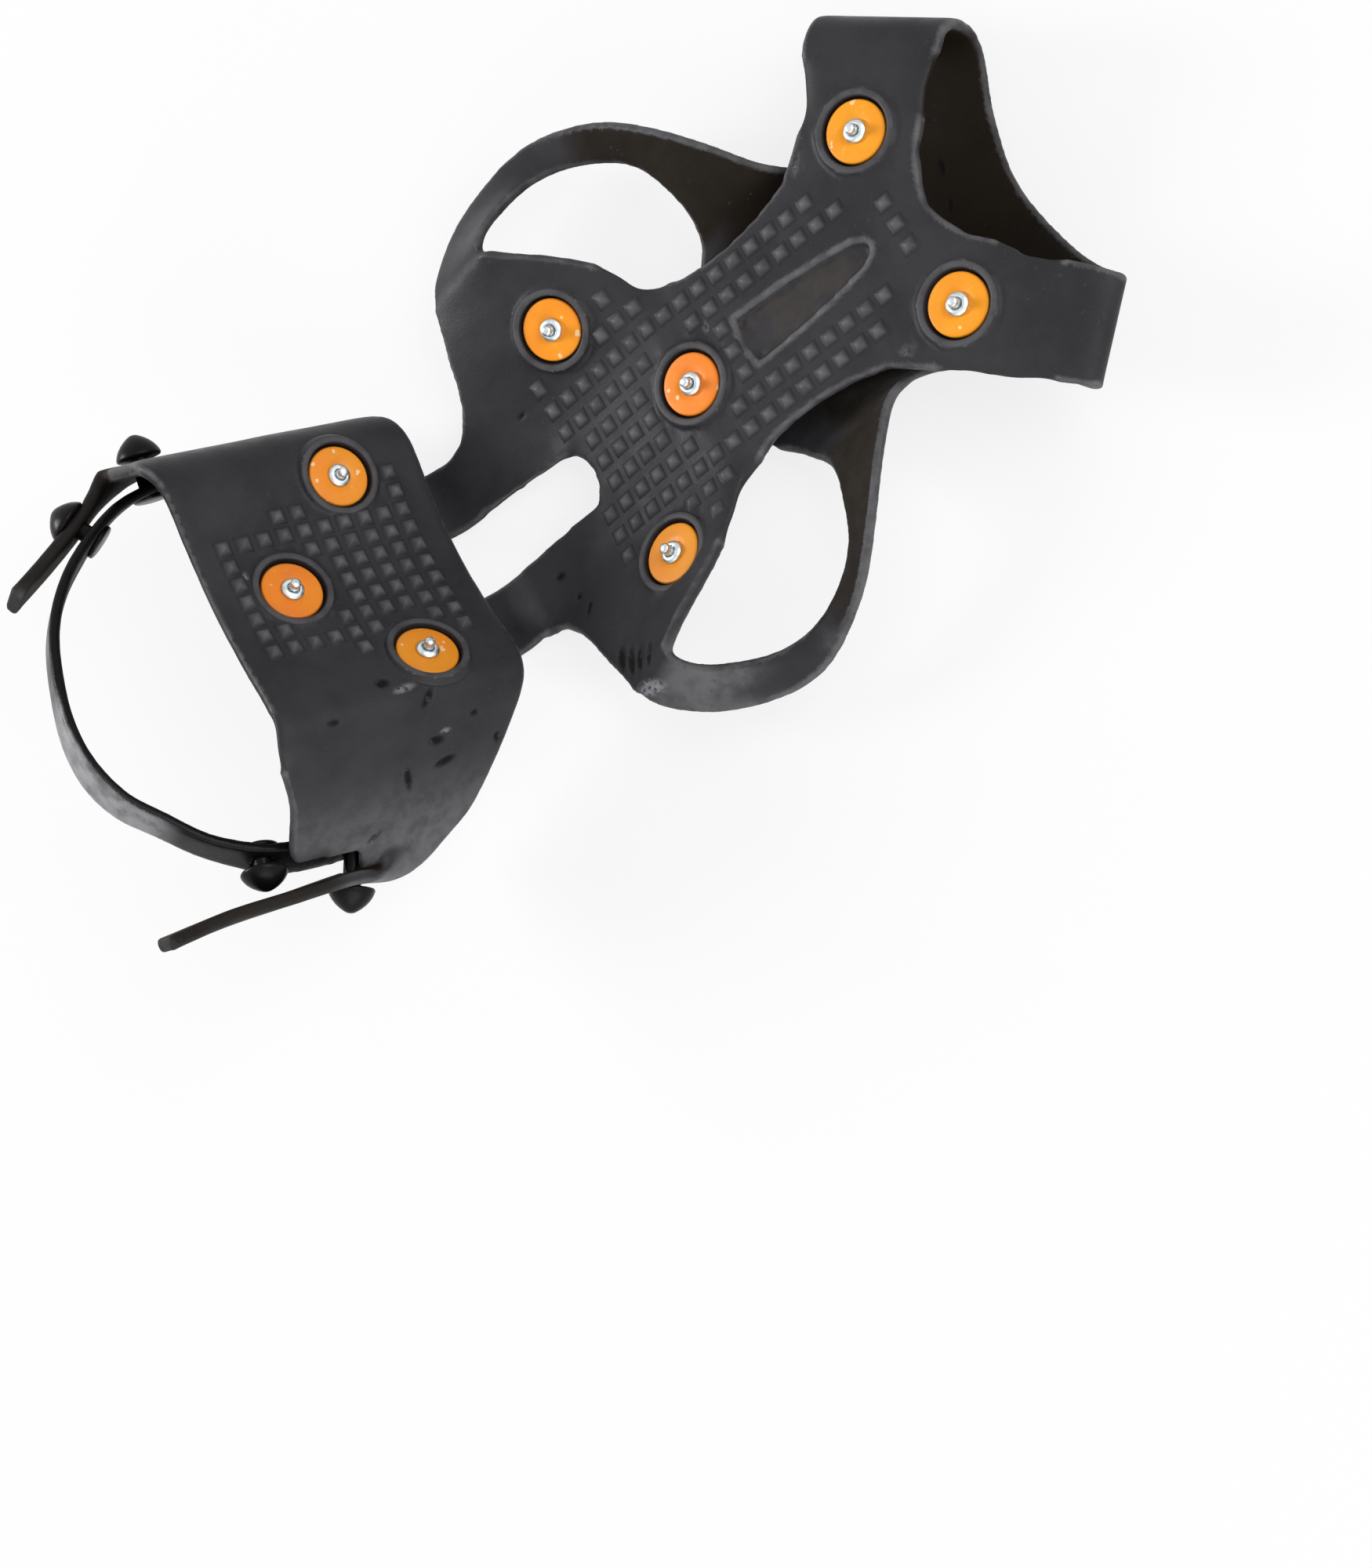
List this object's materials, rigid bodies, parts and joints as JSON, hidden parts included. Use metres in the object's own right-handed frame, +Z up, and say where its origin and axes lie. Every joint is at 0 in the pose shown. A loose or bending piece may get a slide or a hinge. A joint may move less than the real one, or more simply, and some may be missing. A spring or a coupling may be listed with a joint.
{
  "type": "ice cleat",
  "caption": "Rubber overshoe ice cleat with riveted carbide studs, toe loop, side straps, arch bridge and strapped heel cup, lying studs up.",
  "frame": {"origin": "middle of the bounding box on the floor, with the cleat lying studs up on its toe band and bridge webs", "axes": "+X to the toe, +Y to the wearer's right, +Z up out of the studded sole"},
  "size_m": [0.3505, 0.2062, 0.0984],
  "materials": {
    "harness_rubber": "satin charcoal moulded rubber",
    "strap_rubber": "dark satin moulded rubber",
    "disc_plastic": "orange satin plastic",
    "zinc_steel": "bright zinc plated steel",
    "washer_steel": "zinc plated steel",
    "carbide": "ground tungsten carbide"
  },
  "bodies": {
    "forefoot": {"forefoot_harness": "harness_rubber", "left_bridge_web": "harness_rubber", "right_bridge_web": "harness_rubber", "toe_left_disc": "disc_plastic", "toe_left_rivet": "zinc_steel", "toe_left_tip": "carbide", "toe_left_washer": "washer_steel", "toe_right_disc": "disc_plastic", "toe_right_rivet": "zinc_steel", "toe_right_tip": "carbide", "toe_right_washer": "washer_steel", "centre_disc": "disc_plastic", "centre_rivet": "zinc_steel", "centre_tip": "carbide", "centre_washer": "washer_steel", "side_left_disc": "disc_plastic", "side_left_rivet": "zinc_steel", "side_left_tip": "carbide", "side_left_washer": "washer_steel", "side_right_disc": "disc_plastic", "side_right_rivet": "zinc_steel", "side_right_tip": "carbide", "side_right_washer": "washer_steel"},
    "heel": {"heel_cup": "harness_rubber", "left_strap_tail": "harness_rubber", "right_strap_tail": "harness_rubber", "heel_left_disc": "disc_plastic", "heel_left_rivet": "zinc_steel", "heel_left_tip": "carbide", "heel_left_washer": "washer_steel", "heel_right_disc": "disc_plastic", "heel_right_rivet": "zinc_steel", "heel_right_tip": "carbide", "heel_right_washer": "washer_steel", "heel_rear_disc": "disc_plastic", "heel_rear_rivet": "zinc_steel", "heel_rear_tip": "carbide", "heel_rear_washer": "washer_steel"},
    "strap": {"heel_strap": "strap_rubber", "left_front_plug": "strap_rubber", "right_front_plug": "strap_rubber", "left_rear_plug": "strap_rubber", "right_rear_plug": "strap_rubber"}
  },
  "joints": [
    {"name": "arch_flex", "type": "hinge", "parent": "forefoot", "child": "heel", "pos_m": [-0.04274, -0.00095, 0.00272], "axis": [0, 1, 0], "range_deg": [-58, 20], "stiffness_Nm_per_rad": 0.8, "springref_deg": 4.01, "deforming": ["left_bridge_web", "right_bridge_web"]},
    {"name": "strap_swing", "type": "hinge", "parent": "heel", "child": "strap", "pos_m": [-0.11759, -0.00095, 0.028], "axis": [0, 1, 0], "range_deg": [-30, 4], "stiffness_Nm_per_rad": 0.15, "springref_deg": 2.29, "deforming": ["left_strap_tail", "right_strap_tail"]}
  ]
}
